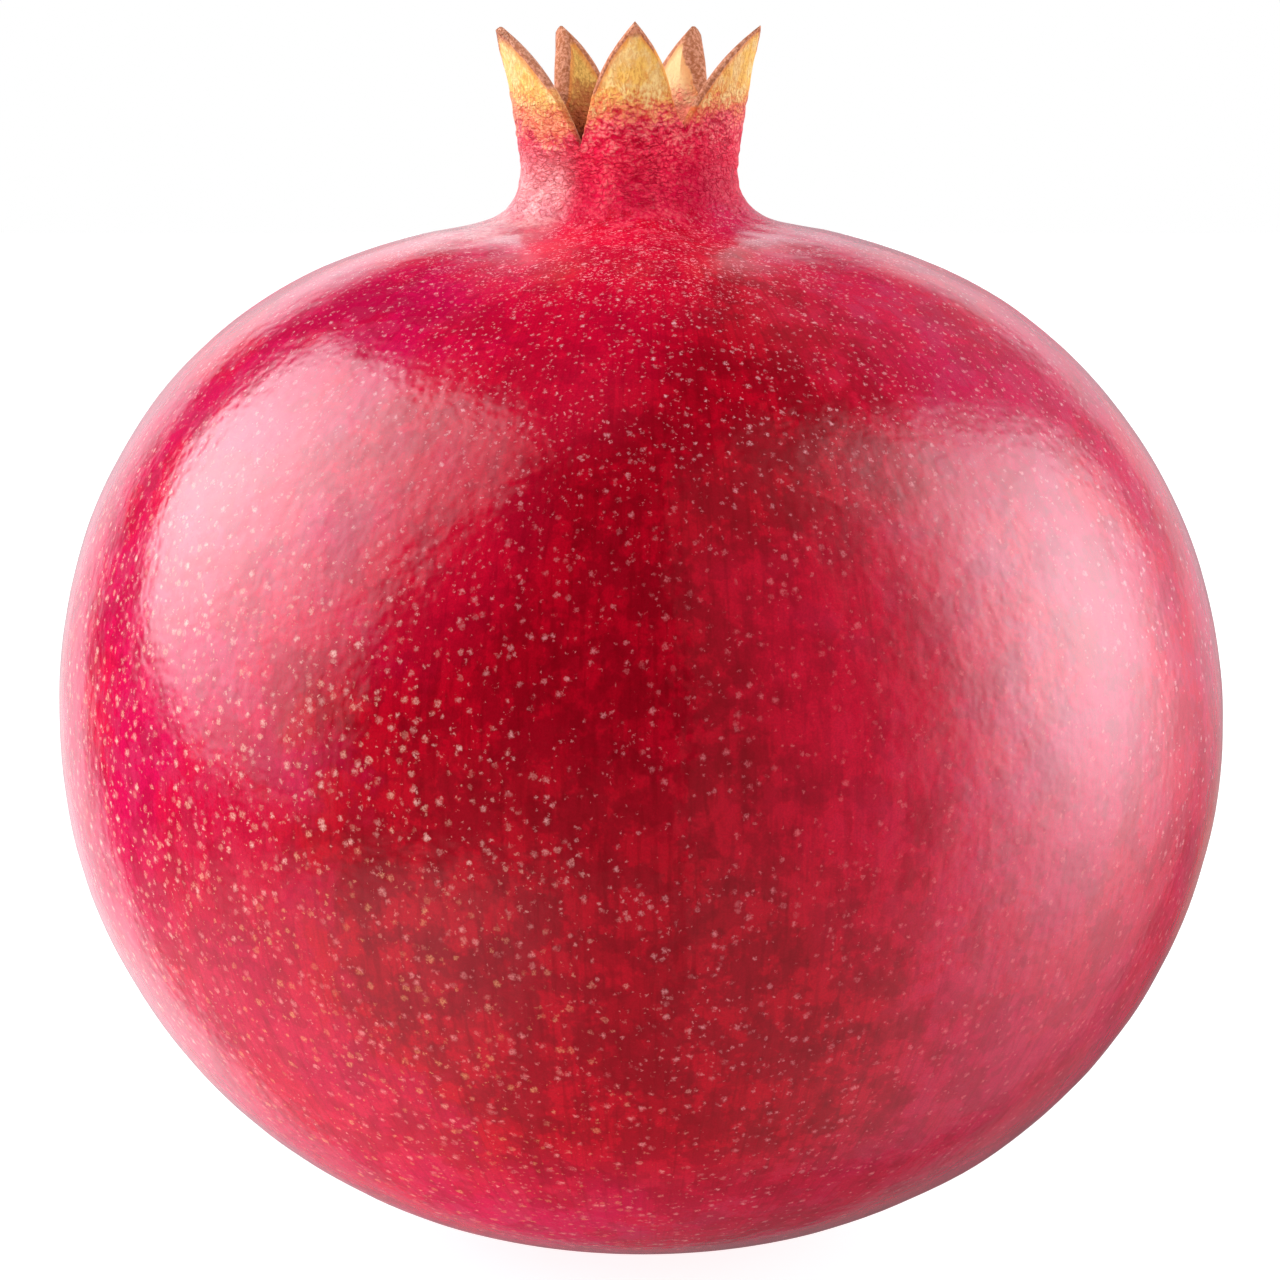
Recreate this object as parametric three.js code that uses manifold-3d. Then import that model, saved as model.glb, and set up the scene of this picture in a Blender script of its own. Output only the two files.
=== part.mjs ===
// A ripe pomegranate, in three solids: the leathery rind with the calyx crown that grows out of it,
// the dried stamens down inside the crown, and the cut stalk in the hollow underneath.
//
// Units are millimetres and +Z is up. The origin is the centre of the small flat spot that the
// fruit rests on. Azimuths are in degrees, measured from the front (-Y) towards +X, and a profile
// is a curve of radius and height, turned about the fruit's axis.

import * as THREE from "three";
import { ParametricGeometry } from "three/addons/geometries/ParametricGeometry.js";
import { mergeGeometries, mergeVertices } from "three/addons/utils/BufferGeometryUtils.js";
import Module from "manifold-3d";

const { degToRad, lerp, radToDeg, smoothstep } = THREE.MathUtils;

// ---- Driving dimensions ------------------------------------------------------------------------

// The body is two half ovals that meet at the widest ring. A power of 2 is a true ellipse, and a
// higher one is fuller towards the corners.
const BODY = {
  radius: 48,
  equator: 43,
  lowerHeight: 43.7,
  lowerPower: 2.16,
  upperHeight: 41.3,
  upperPower: 2.6,
};
const DIMPLE = { radius: 4.4, depth: 3 };
const SHOULDER_RADIUS = 16;
const WAIST = { radius: 9.15, height: 88.2 };
// Above the waist the calyx tube opens by this share of the height gained.
const FLARE = 0.16;
// The crown stands a little to the left of the fruit's middle, which leans over from this height.
const CROWN_DRIFT = -1.2;
const DRIFT_START = 36;

// The calyx lobes, in turn from the front. Each fills the fifth of the crown between two notches,
// from its own azimuth to the next lobe's, and rises to a tip. Its two sides are full at 1, and a
// smaller share is a side torn back to a narrower one. Its margins are this thick half-way up, and
// its end is this thick at the tip.
const LOBES = [
  { from: -27, tip: 3, notch: 90.2, height: 100.1, radius: 11.2, sides: [0.95, 0.85], margin: 1, end: 1.2 },
  { from: 31, tip: 70, notch: 91.6, height: 99.9, radius: 11.4, sides: [1, 1], margin: 1, end: 0.6 },
  { from: 110, tip: 149, notch: 91, height: 98.9, radius: 11.7, sides: [0.45, 0.8], margin: 0.3, end: 2.5 },
  { from: 181, tip: 211, notch: 91.4, height: 99.1, radius: 11.8, sides: [0.75, 0.3], margin: 2, end: 1.9 },
  { from: 254, tip: 295, notch: 90.8, height: 99.6, radius: 11.8, sides: [1, 1], margin: 1, end: 0.9 },
];
const WALL = { core: 1.9, notch: 0.8 }; // thickness along the lobes' middles and at the notches
const EVEN_TAPER = 0.66; // the share of a lobe's narrowing that is even, the rest is near its tip
const TORN_BY = 0.35; // how far up a lobe its torn side reaches its narrower width
const CURL = 5; // how late up a lobe its tip turns outwards or inwards
const ROUNDING = 0.3; // how far margins and tips bulge, as a share of their thickness

// Soft relief: the ridges below the lobes, the creases below the notches, the slow swells.
const RIDGE_HEIGHT = 0.9;
const CREASE_DEPTH = 0.8;
const SWELL_HEIGHT = 0.25;

const CUP = { floor: 84.2, power: 3.2 };

// The dried stamens spring in three rings from a shallow dish on the cup's floor, round the style.
const DISH = [
  [0, 84.6],
  [3.4, 84.8],
  [4.9, 85.3],
  [5.2, 85.8],
  [4.7, 86.1],
  [3, 85.7],
  [0, 85.6],
];
const FILAMENT_RINGS = [
  { radius: 1.9, count: 6, length: 2.7, lean: 1.4 },
  { radius: 3.2, count: 10, length: 2.9, lean: 1.3 },
  { radius: 4.4, count: 15, length: 3.0, lean: 1.0 },
];
const FILAMENT = { root: 85.4, thickness: 0.62, sides: 5, steps: 4, anther: 0.5 };
const STYLE = { radius: 0.7, root: 85, top: 88.6 };

// The cut stalk fills most of the hollow underneath, a little clear of its roof.
const STALK = [
  [0, 0.5],
  [1.7, 0.5],
  [2, 0.8],
  [2, 1.35],
  [1.2, 2.1],
  [0, 2.5],
];

// Facets: across the fifth below each lobe, and along each stretch of the surface.
const FACETS = {
  across: 14,
  dimple: 4,
  lower: 13,
  upper: 13,
  shoulder: 5,
  tube: 2,
  lobe: 8,
  margin: 3,
  cup: 7,
  lathe: 20,
};

const COLOURS = { rind: "#a80f26", stamens: "#8a5a2c", stalk: "#6f5334" };

// ---- Solids from surfaces ----------------------------------------------------------------------

// Joins surfaces that share their borders into one closed geometry of positions and triangles.
function weld(surfaces) {
  for (const surface of surfaces) {
    surface.deleteAttribute("normal");
    surface.deleteAttribute("uv");
  }
  const joined = mergeVertices(mergeGeometries(surfaces));
  const corners = joined.getIndex().array;
  const kept = [];
  for (let i = 0; i < corners.length; i += 3) {
    const [a, b, c] = corners.subarray(i, i + 3);
    if (a !== b && b !== c && c !== a) {
      kept.push(a, b, c);
    }
  }
  joined.setIndex(kept);
  return joined;
}

function solidMesh(name, geometry, colour, roughness) {
  geometry.computeVertexNormals();
  const material = new THREE.MeshStandardMaterial({ color: colour, roughness, metalness: 0 });
  const mesh = new THREE.Mesh(geometry, material);
  mesh.name = name;
  return mesh;
}

// ---- Round the fruit ---------------------------------------------------------------------------

// Places a point by its azimuth, radius and height, with the crown's drift to one side.
function place(azimuth, radius, height, target) {
  const drift = CROWN_DRIFT * smoothstep(height, DRIFT_START, WAIST.height);
  const angle = degToRad(azimuth);
  target.set(radius * Math.sin(angle) + drift, -radius * Math.cos(angle), height);
}

// The place that is across, from 0 to 1, the fifth of the fruit below one lobe.
function sectorAt(fifth, across) {
  const lobe = LOBES[fifth];
  const next = LOBES[(fifth + 1) % LOBES.length];
  const to = fifth + 1 < LOBES.length ? next.from : next.from + 360;
  const azimuth =
    across < 0.5 ? lerp(lobe.from, lobe.tip, across * 2) : lerp(lobe.tip, to, across * 2 - 1);
  return { lobe, next, across, azimuth };
}

// The place at a turn, from 0 to 1, round the whole fruit.
function sectorOf(turn) {
  const fifth = Math.min(Math.floor(turn * LOBES.length), LOBES.length - 1);
  return sectorAt(fifth, turn * LOBES.length - fifth);
}

// 0 at the notches and 1 at the middle of a lobe.
function fullness(across) {
  return (1 - Math.cos(2 * Math.PI * across)) / 2;
}

// ---- Rind: the body ----------------------------------------------------------------------------

// A point on the body's oval, with slope as its angle above the widest ring, in radians.
function ovalPoint(slope) {
  const height = slope < 0 ? BODY.lowerHeight : BODY.upperHeight;
  const power = slope < 0 ? BODY.lowerPower : BODY.upperPower;
  return new THREE.Vector2(
    BODY.radius * Math.cos(slope) ** (2 / power),
    BODY.equator + height * Math.sin(slope),
  );
}

const FLAT_SLOPE = -Math.asin(BODY.equator / BODY.lowerHeight);
const FLAT_RADIUS = ovalPoint(FLAT_SLOPE).x;
const SHOULDER_SLOPE = Math.acos((SHOULDER_RADIUS / BODY.radius) ** (BODY.upperPower / 2));

// The hollow curve from the shoulder in and up to the waist of the neck.
const shoulder = ovalPoint(SHOULDER_SLOPE);
const shoulderCurve = new THREE.CubicBezierCurve(
  shoulder,
  new THREE.Vector2(11.6, 83.75),
  new THREE.Vector2(9.2, 83.95),
  new THREE.Vector2(WAIST.radius, WAIST.height),
);

// Turns a profile point into a point of the skin, with its ridges, creases and swells.
function skinPoint(turn, profile, target) {
  const { across, azimuth } = sectorOf(turn);
  const full = fullness(across);
  const angle = degToRad(azimuth);
  const { x: radius, y: height } = profile;

  const nearShoulder = smoothstep(height, BODY.equator, shoulder.y);
  const nearWaist = smoothstep(height, shoulder.y, WAIST.height);
  const clearOfFlat = smoothstep(radius, FLAT_RADIUS, BODY.radius);
  const ridge = RIDGE_HEIGHT * (full - 0.5) * nearShoulder * (1 - nearWaist);
  const wave = Math.sin(2 * angle + 0.8) - Math.sin(3 * angle - height / 14);
  const swell = (SWELL_HEIGHT / 2) * wave * clearOfFlat * (1 - nearShoulder);

  const fromMiddle = Math.hypot(radius, height - BODY.equator);
  const grown = 1 + (ridge + swell) / fromMiddle;
  const creased = radius * grown - CREASE_DEPTH * (1 - full) * nearWaist;
  place(azimuth, creased, BODY.equator + (height - BODY.equator) * grown, target);
}

// A band of skin all round the fruit, along a profile from its lower end to its upper end.
function skinBand(rows, profileAt) {
  const surface = (turn, along, target) => skinPoint(turn, profileAt(along), target);
  return new ParametricGeometry(surface, FACETS.across * LOBES.length, rows);
}

function bodySurfaces() {
  const dimple = (along) =>
    new THREE.Vector2(DIMPLE.radius * along, (DIMPLE.depth * (1 + Math.cos(Math.PI * along))) / 2);
  const flat = (along) => new THREE.Vector2(lerp(DIMPLE.radius, FLAT_RADIUS, along), 0);
  return [
    skinBand(FACETS.dimple, dimple),
    skinBand(1, flat),
    skinBand(FACETS.lower, (along) => ovalPoint(FLAT_SLOPE * (1 - along))),
    skinBand(FACETS.upper, (along) => ovalPoint(SHOULDER_SLOPE * along)),
    skinBand(FACETS.shoulder, (along) => shoulderCurve.getPoint(along)),
  ];
}

// ---- Rind: the calyx crown ---------------------------------------------------------------------

// The outer radius of the tube and the lobes, before a lobe curls.
function tubeRadius(height) {
  const above = Math.max(height - WAIST.height, 0);
  return WAIST.radius + (FLARE * above * above) / (above + 1);
}

// The height of the line between a lobe's two notches, where the lobe starts.
function rimHeight({ lobe, next, across }) {
  return lerp(lobe.notch, next.notch, across);
}

// The wall's thickness: full along a lobe's middle, with margins of their own.
function wallThickness({ lobe, across }, rise) {
  const core = lerp(WALL.core, lobe.end, rise ** 2);
  const fall = 1 - rise;
  const margin = fall ** 2 * WALL.notch + 2 * fall * rise * lobe.margin + rise ** 2 * lobe.end;
  return lerp(margin, core, Math.sin(Math.PI * across));
}

// How much of a lobe's width is left at a rise of 0 to 1.
function widthLeft({ lobe, across }, rise) {
  const taper = 1 - EVEN_TAPER * rise - (1 - EVEN_TAPER) * rise ** 3;
  const side = across < 0.5 ? lobe.sides[0] : lobe.sides[1];
  return taper * lerp(1, side, smoothstep(rise, 0, TORN_BY));
}

// A point of a lobe, with rise 0 at the rim and 1 at the tip, and depth 0 outside and 1 inside.
function lobePoint(sector, rise, depth, target) {
  const { lobe, across, azimuth } = sector;
  const height = lerp(rimHeight(sector), lobe.height, rise);
  const curl = (lobe.radius - tubeRadius(lobe.height)) * rise ** CURL;
  const crease = CREASE_DEPTH * (1 - fullness(across)) * (1 - rise);
  const outer = tubeRadius(height) + curl - crease;
  const thickness = wallThickness(sector, rise);

  const bulge = ROUNDING * thickness * Math.sin(Math.PI * depth);
  const outwards = Math.sign(across - 0.5) * bulge * Math.sin(Math.PI * rise);
  const narrowed = lerp(lobe.tip, azimuth, widthLeft(sector, rise)) + radToDeg(outwards / outer);
  place(narrowed, outer - depth * thickness, height + bulge * rise ** 4, target);
}

// The skin from the waist up to the line between the notches.
function tubeSurface() {
  const surface = (turn, along, target) => {
    const sector = sectorOf(turn);
    const height = lerp(WAIST.height, rimHeight(sector), along);
    const crease = CREASE_DEPTH * (1 - fullness(sector.across));
    place(sector.azimuth, tubeRadius(height) - crease, height, target);
  };
  return new ParametricGeometry(surface, FACETS.across * LOBES.length, FACETS.tube);
}

// A lobe's outer face, its inner face and its two margins.
function lobeSurfaces(fifth) {
  const outer = (across, rise, target) => lobePoint(sectorAt(fifth, across), rise, 0, target);
  const inner = (across, rise, target) => lobePoint(sectorAt(fifth, 1 - across), rise, 1, target);
  const margin = (across, depthAt) => (u, rise, target) =>
    lobePoint(sectorAt(fifth, across), rise, depthAt(u), target);
  return [
    new ParametricGeometry(outer, FACETS.across, FACETS.lobe),
    new ParametricGeometry(inner, FACETS.across, FACETS.lobe),
    new ParametricGeometry(margin(0, (u) => 1 - u), FACETS.margin, FACETS.lobe),
    new ParametricGeometry(margin(1, (u) => u), FACETS.margin, FACETS.lobe),
  ];
}

// The inside of the tube: steep walls and a round floor, from the floor's middle up to the rim.
function cupSurface() {
  const surface = (turn, along, target) => {
    const sector = sectorOf(1 - turn);
    const rim = rimHeight(sector);
    const crease = CREASE_DEPTH * (1 - fullness(sector.across));
    const rimRadius = tubeRadius(rim) - crease - wallThickness(sector, 0);
    const slope = (Math.PI / 2) * (1 - along);
    const radius = rimRadius * Math.cos(slope) ** (2 / CUP.power);
    const height = rim - (rim - CUP.floor) * Math.sin(slope) ** (2 / CUP.power);
    place(sector.azimuth, radius, height, target);
  };
  return new ParametricGeometry(surface, FACETS.across * LOBES.length, FACETS.cup);
}

function rindMesh() {
  const lobes = LOBES.flatMap((_, fifth) => lobeSurfaces(fifth));
  const surfaces = [...bodySurfaces(), tubeSurface(), ...lobes, cupSurface()];
  return solidMesh("rind_and_calyx", weld(surfaces), COLOURS.rind, 0.35);
}

// ---- Stamens and stalk -------------------------------------------------------------------------

// Turns a profile of [radius, height] corners, from the axis back to the axis, into a closed solid.
function turned(corners) {
  const profile = corners.map(([radius, height]) => new THREE.Vector2(radius, height));
  return weld([new THREE.LatheGeometry(profile, FACETS.lathe).rotateX(Math.PI / 2)]);
}

// A rod along a curve, with a regular outline.
function rod(curve, radius, sides, steps) {
  const corner = (i) => (2 * Math.PI * i) / sides;
  const corners = Array.from({ length: sides }, (_, i) => [
    radius * Math.cos(corner(i)),
    radius * Math.sin(corner(i)),
  ]);
  const outline = new THREE.Shape(corners.map(([x, y]) => new THREE.Vector2(x, y)));
  const options = { steps, bevelEnabled: false, extrudePath: curve };
  return weld([new THREE.ExtrudeGeometry(outline, options)]);
}

// Gives the same draws from 0 to 1 on each run.
function seededRandom(seed) {
  let state = seed;
  return () => {
    state = (Math.imul(state, 1664525) + 1013904223) >>> 0;
    return state / 2 ** 32;
  };
}

function joinSolids(wasm, geometries) {
  const solids = geometries.map((geometry) => {
    const vertProperties = new Float32Array(geometry.getAttribute("position").array);
    const triVerts = new Uint32Array(geometry.getIndex().array);
    return new wasm.Manifold(new wasm.Mesh({ numProp: 3, vertProperties, triVerts }));
  });
  const joined = solids.reduce((whole, solid) => whole.add(solid)).getMesh();
  const geometry = new THREE.BufferGeometry();
  geometry.setAttribute("position", new THREE.BufferAttribute(joined.vertProperties, 3));
  geometry.setIndex(new THREE.BufferAttribute(joined.triVerts, 1));
  return geometry;
}

// One ring of filaments, each leaning its own way and ending in an anther.
function filamentRing({ radius, count, length, lean }, random) {
  const pieces = [];
  for (let i = 0; i < count; i += 1) {
    const azimuth = (360 * (i + 0.7 * random())) / count;
    const turnAside = 30 * (random() - 0.5);
    const tall = length * (0.75 + 0.25 * random());
    const out = radius + lean * (random() - 0.4);
    const root = new THREE.Vector3();
    const bend = new THREE.Vector3();
    const end = new THREE.Vector3();
    place(azimuth, radius, FILAMENT.root, root);
    place(azimuth + turnAside, (radius + out) / 2 + 0.4, FILAMENT.root + tall * 0.6, bend);
    place(azimuth + turnAside * 0.4, out, FILAMENT.root + tall, end);
    const curve = new THREE.CatmullRomCurve3([root, bend, end]);
    const anther = new THREE.IcosahedronGeometry(FILAMENT.anther).translate(...end);
    pieces.push(rod(curve, FILAMENT.thickness / 2, FILAMENT.sides, FILAMENT.steps), weld([anther]));
  }
  return pieces;
}

function stamensMesh(wasm) {
  const random = seededRandom(7);
  const foot = new THREE.Vector3();
  const head = new THREE.Vector3();
  place(0, 0, STYLE.root, foot);
  place(0, 0, STYLE.top, head);
  const dish = turned(DISH).translate(foot.x, foot.y, 0);
  const style = rod(new THREE.LineCurve3(foot, head), STYLE.radius, 7, 1);
  const rings = FILAMENT_RINGS.flatMap((ring) => filamentRing(ring, random));
  return solidMesh("stamens", joinSolids(wasm, [dish, style, ...rings]), COLOURS.stamens, 0.8);
}

const wasm = await Module();
wasm.setup();

const fruit = new THREE.Group();
fruit.name = "pomegranate";
fruit.add(rindMesh());
fruit.add(stamensMesh(wasm));
fruit.add(solidMesh("stalk_stub", turned(STALK), COLOURS.stalk, 0.85));

export default fruit;
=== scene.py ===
"""A ripe pomegranate on a pale table: the rind with its calyx crown, the dried stamens, the cut stalk."""

import math
import random

import bpy
import numpy as np
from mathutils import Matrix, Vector, noise


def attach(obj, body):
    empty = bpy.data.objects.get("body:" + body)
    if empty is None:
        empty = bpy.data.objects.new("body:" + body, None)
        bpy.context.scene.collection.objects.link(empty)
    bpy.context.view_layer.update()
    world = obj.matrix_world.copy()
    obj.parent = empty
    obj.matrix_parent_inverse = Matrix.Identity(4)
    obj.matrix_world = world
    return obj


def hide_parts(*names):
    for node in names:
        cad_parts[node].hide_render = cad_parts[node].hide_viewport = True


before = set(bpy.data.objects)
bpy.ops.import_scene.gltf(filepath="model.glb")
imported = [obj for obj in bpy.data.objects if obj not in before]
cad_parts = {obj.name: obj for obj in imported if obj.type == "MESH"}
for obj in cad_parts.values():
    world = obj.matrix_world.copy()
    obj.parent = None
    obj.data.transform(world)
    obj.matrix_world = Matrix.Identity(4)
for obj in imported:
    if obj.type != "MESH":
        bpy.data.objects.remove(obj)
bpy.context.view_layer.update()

MM = 0.001

# ---- Shape of the fruit, in millimetres, as in the CAD model ----

BODY_RADIUS = 48.0
EQUATOR = 43.0
LOWER_HEIGHT = 43.7
LOWER_POWER = 2.16
UPPER_HEIGHT = 41.3
UPPER_POWER = 2.6
DIMPLE_RADIUS = 4.4
DIMPLE_DEPTH = 3.0
SHOULDER_RADIUS = 16.0
# The two inner control points of the curve from the shoulder up to the waist.
SHOULDER_PULL_RADII = (11.6, 9.2)
SHOULDER_PULL_HEIGHTS = (83.75, 83.95)
WAIST_RADIUS = 9.15
WAIST_HEIGHT = 88.2
FLARE = 0.16
CROWN_DRIFT = -1.2
DRIFT_START = 36.0
WALL_CORE = 1.9
WALL_NOTCH = 0.8
EVEN_TAPER = 0.66
TORN_BY = 0.35
CURL = 5
ROUNDING = 0.3
RIDGE_HEIGHT = 0.9
CREASE_DEPTH = 0.8
SWELL_HEIGHT = 0.25
CUP_FLOOR = 84.2
CUP_POWER = 3.2

# Each lobe: the azimuths of its start and its tip, the heights of its notch and its tip, its tip's
# radius, the shares its two sides keep, how thick its margins and its end are, how much its tip is
# thinned to a needle, and for each side how wide the brown along its margin is at the tip and how
# far up the lobe it begins.
LOBES = [
    dict(start=-27, tip=3, notch=90.2, height=100.1, radius=11.2, sides=(0.95, 0.85),
         margin=1.0, end=1.2, needle=0.0, browned=((0.30, 0.35), (0.22, 0.7))),
    dict(start=31, tip=70, notch=91.6, height=99.9, radius=11.4, sides=(1.0, 1.0),
         margin=1.0, end=0.6, needle=0.8, browned=((0.35, 0.15), (0.35, 0.4))),
    dict(start=110, tip=149, notch=91.0, height=98.9, radius=11.7, sides=(0.45, 0.8),
         margin=0.3, end=2.5, needle=0.0, browned=((1.1, 0.3), (0.4, 0.4))),
    dict(start=181, tip=211, notch=91.4, height=99.1, radius=11.8, sides=(0.75, 0.3),
         margin=2.0, end=1.9, needle=0.0, browned=((0.4, 0.4), (0.5, 0.0))),
    dict(start=254, tip=295, notch=90.8, height=99.6, radius=11.8, sides=(1.0, 1.0),
         margin=1.0, end=0.9, needle=0.0, browned=((0.3, 0.4), (0.55, 0.42))),
]

# Quads along each stretch of the surface.
ACROSS = 72
ROWS = dict(dimple=6, flat=2, lower=60, upper=60, shoulder=24, tube=14, lobe=40, margin=5, cup=14)

# ---- Small helpers ----


def smoothstep(value, low, high):
    """0 up to low, 1 from high on, and smooth between them."""
    share = np.clip((value - low) / (high - low), 0, 1)
    return share * share * (3 - 2 * share)


def lerp(a, b, share):
    return a + (b - a) * share


def unit_grid(rows, columns):
    """Two grids of numbers from 0 to 1: one that grows down the rows, one along the columns."""
    return np.meshgrid(np.linspace(0, 1, rows + 1), np.linspace(0, 1, columns + 1), indexing="ij")


def place(azimuth, radius, height):
    """Points by azimuth in degrees, radius and height, with the crown's drift to one side."""
    angle = np.radians(azimuth)
    drift = CROWN_DRIFT * smoothstep(height, DRIFT_START, WAIST_HEIGHT)
    return np.stack([radius * np.sin(angle) + drift, -radius * np.cos(angle), height], axis=-1)


def fullness(across):
    """0 at the notches and 1 at the middle of a lobe."""
    return (1 - np.cos(2 * np.pi * across)) / 2


def azimuth_at(fifth, across):
    """The azimuth that is across, from 0 to 1, the fifth of the fruit below one lobe."""
    lobe = LOBES[fifth]
    last = fifth + 1 == len(LOBES)
    end = LOBES[0]["start"] + 360 if last else LOBES[fifth + 1]["start"]
    first_half = lerp(lobe["start"], lobe["tip"], across * 2)
    second_half = lerp(lobe["tip"], end, across * 2 - 1)
    return np.where(across < 0.5, first_half, second_half)


def rim_height(fifth, across):
    """The height of the line from one notch to the next."""
    following = LOBES[(fifth + 1) % len(LOBES)]
    return lerp(LOBES[fifth]["notch"], following["notch"], across)


def tube_radius(height):
    """The calyx tube's radius, which grows above the waist."""
    above = np.maximum(height - WAIST_HEIGHT, 0)
    return WAIST_RADIUS + FLARE * above * above / (above + 1)


# ---- Rind: profile of the body ----


def oval_point(slope):
    """Radius and height on the body's oval, with slope as its angle above the widest ring."""
    height = np.where(slope < 0, LOWER_HEIGHT, UPPER_HEIGHT)
    power = np.where(slope < 0, LOWER_POWER, UPPER_POWER)
    return BODY_RADIUS * np.cos(slope) ** (2 / power), EQUATOR + height * np.sin(slope)


FLAT_SLOPE = -math.asin(EQUATOR / LOWER_HEIGHT)
FLAT_RADIUS = float(oval_point(FLAT_SLOPE)[0])
SHOULDER_SLOPE = math.acos((SHOULDER_RADIUS / BODY_RADIUS) ** (UPPER_POWER / 2))
SHOULDER_HEIGHT = float(oval_point(SHOULDER_SLOPE)[1])


def shoulder_point(along):
    """The hollow curve from the shoulder in and up to the waist of the neck."""
    rest = 1 - along
    weights = [rest**3, 3 * rest**2 * along, 3 * rest * along**2, along**3]
    radii = [SHOULDER_RADIUS, *SHOULDER_PULL_RADII, WAIST_RADIUS]
    heights = [SHOULDER_HEIGHT, *SHOULDER_PULL_HEIGHTS, WAIST_HEIGHT]
    radius = sum(w * r for w, r in zip(weights, radii))
    height = sum(w * h for w, h in zip(weights, heights))
    return radius, height


def body_profile():
    """Radii and heights from the dimple's middle up to the waist, one point a row."""
    steps = {name: np.linspace(0, 1, ROWS[name] + 1) for name in ROWS}
    dimple = steps["dimple"]
    flat = steps["flat"][1:]
    stretches = [
        (DIMPLE_RADIUS * dimple, DIMPLE_DEPTH * (1 + np.cos(np.pi * dimple)) / 2),
        (lerp(DIMPLE_RADIUS, FLAT_RADIUS, flat), 0 * flat),
        oval_point(FLAT_SLOPE * (1 - steps["lower"][1:])),
        oval_point(SHOULDER_SLOPE * steps["upper"][1:]),
        shoulder_point(steps["shoulder"][1:]),
    ]
    radii = np.concatenate([r for r, _ in stretches])
    heights = np.concatenate([h for _, h in stretches])
    return radii, heights


# ---- Rind: surfaces, as grids of points ----


def body_grid(fifth):
    """The skin of one fifth of the body, from the dimple up to the waist."""
    radii, heights = body_profile()
    radius, across = np.meshgrid(radii, np.linspace(0, 1, ACROSS + 1), indexing="ij")
    height = np.repeat(heights[:, None], ACROSS + 1, axis=1)
    azimuth = azimuth_at(fifth, across)
    angle = np.radians(azimuth)
    full = fullness(across)
    near_shoulder = smoothstep(height, EQUATOR, SHOULDER_HEIGHT)
    near_waist = smoothstep(height, SHOULDER_HEIGHT, WAIST_HEIGHT)
    clear_of_flat = smoothstep(radius, FLAT_RADIUS, BODY_RADIUS)
    ridge = RIDGE_HEIGHT * (full - 0.5) * near_shoulder * (1 - near_waist)
    wave = np.sin(2 * angle + 0.8) - np.sin(3 * angle - height / 14)
    swell = SWELL_HEIGHT / 2 * wave * clear_of_flat * (1 - near_shoulder)
    grown = 1 + (ridge + swell) / np.hypot(radius, height - EQUATOR)
    creased = radius * grown - CREASE_DEPTH * (1 - full) * near_waist
    return place(azimuth, creased, EQUATOR + (height - EQUATOR) * grown)


def tube_grid(fifth):
    """The outside of one fifth of the tube, from the waist up to the rim."""
    along, across = unit_grid(ROWS["tube"], ACROSS)
    height = lerp(WAIST_HEIGHT, rim_height(fifth, across), along)
    crease = CREASE_DEPTH * (1 - fullness(across))
    return place(azimuth_at(fifth, across), tube_radius(height) - crease, height)


def wall_thickness(lobe, across, rise):
    """A lobe's thickness: thickest along its middle, and set at its notch, margins and end."""
    core = lerp(WALL_CORE, lobe["end"], rise**2)
    fall = 1 - rise
    margin = fall**2 * WALL_NOTCH + 2 * fall * rise * lobe["margin"] + rise**2 * lobe["end"]
    return lerp(margin, core, np.sin(np.pi * across))


def width_left(lobe, across, rise):
    """How much of a lobe's width is left at a rise of 0 to 1."""
    taper = 1 - EVEN_TAPER * rise - (1 - EVEN_TAPER) * rise**3
    side = np.where(across < 0.5, lobe["sides"][0], lobe["sides"][1])
    return taper * lerp(1, side, smoothstep(rise, 0, TORN_BY))


def lobe_points(fifth, across, rise, depth):
    """Points of a lobe: rise 0 at the rim and 1 at the tip, depth 0 outside and 1 inside."""
    lobe = LOBES[fifth]
    height = lerp(rim_height(fifth, across), lobe["height"], rise)
    curl = (lobe["radius"] - tube_radius(lobe["height"])) * rise**CURL
    crease = CREASE_DEPTH * (1 - fullness(across)) * (1 - rise)
    outer = tube_radius(height) + curl - crease
    thickness = wall_thickness(lobe, across, rise) * (1 - lobe["needle"] * rise**5)
    bulge = ROUNDING * thickness * np.sin(np.pi * depth)
    outwards = np.sign(across - 0.5) * bulge * np.sin(np.pi * rise)
    narrowed = lerp(lobe["tip"], azimuth_at(fifth, across), width_left(lobe, across, rise))
    turned = narrowed + np.degrees(outwards / outer)
    return place(turned, outer - depth * thickness, height + bulge * rise**4)


def browning(fifth, side, rise):
    """0 to 1: how brown a lobe's margin is at that rise."""
    begins = LOBES[fifth]["browned"][side][1]
    return smoothstep(rise, begins - 0.05, begins + 0.2)


def lobe_face(fifth, depth):
    """One face of a lobe, and each point's distance to the nearer margin, in widths of its brown band."""
    rise, across = unit_grid(ROWS["lobe"], ACROSS)
    points = lobe_points(fifth, across, rise, depth)
    second = across >= 0.5
    near = lobe_points(fifth, np.where(second, 1.0, 0.0), rise, depth)
    (first_width, _), (second_width, _) = LOBES[fifth]["browned"]
    brown = np.where(second, browning(fifth, 1, rise), browning(fifth, 0, rise))
    width = np.where(second, second_width, first_width) * brown * lerp(0.3, 1, rise**2)
    return points, rise, np.linalg.norm(points - near, axis=-1) / np.maximum(width, 0.04)


def lobe_margin(fifth, side):
    """One edge of a lobe, from its outside to its inside."""
    rise, depth = unit_grid(ROWS["lobe"], ROWS["margin"])
    points = lobe_points(fifth, np.full_like(rise, side), rise, depth)
    return points, rise, depth, 2 * (1 - browning(fifth, side, rise))


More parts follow.
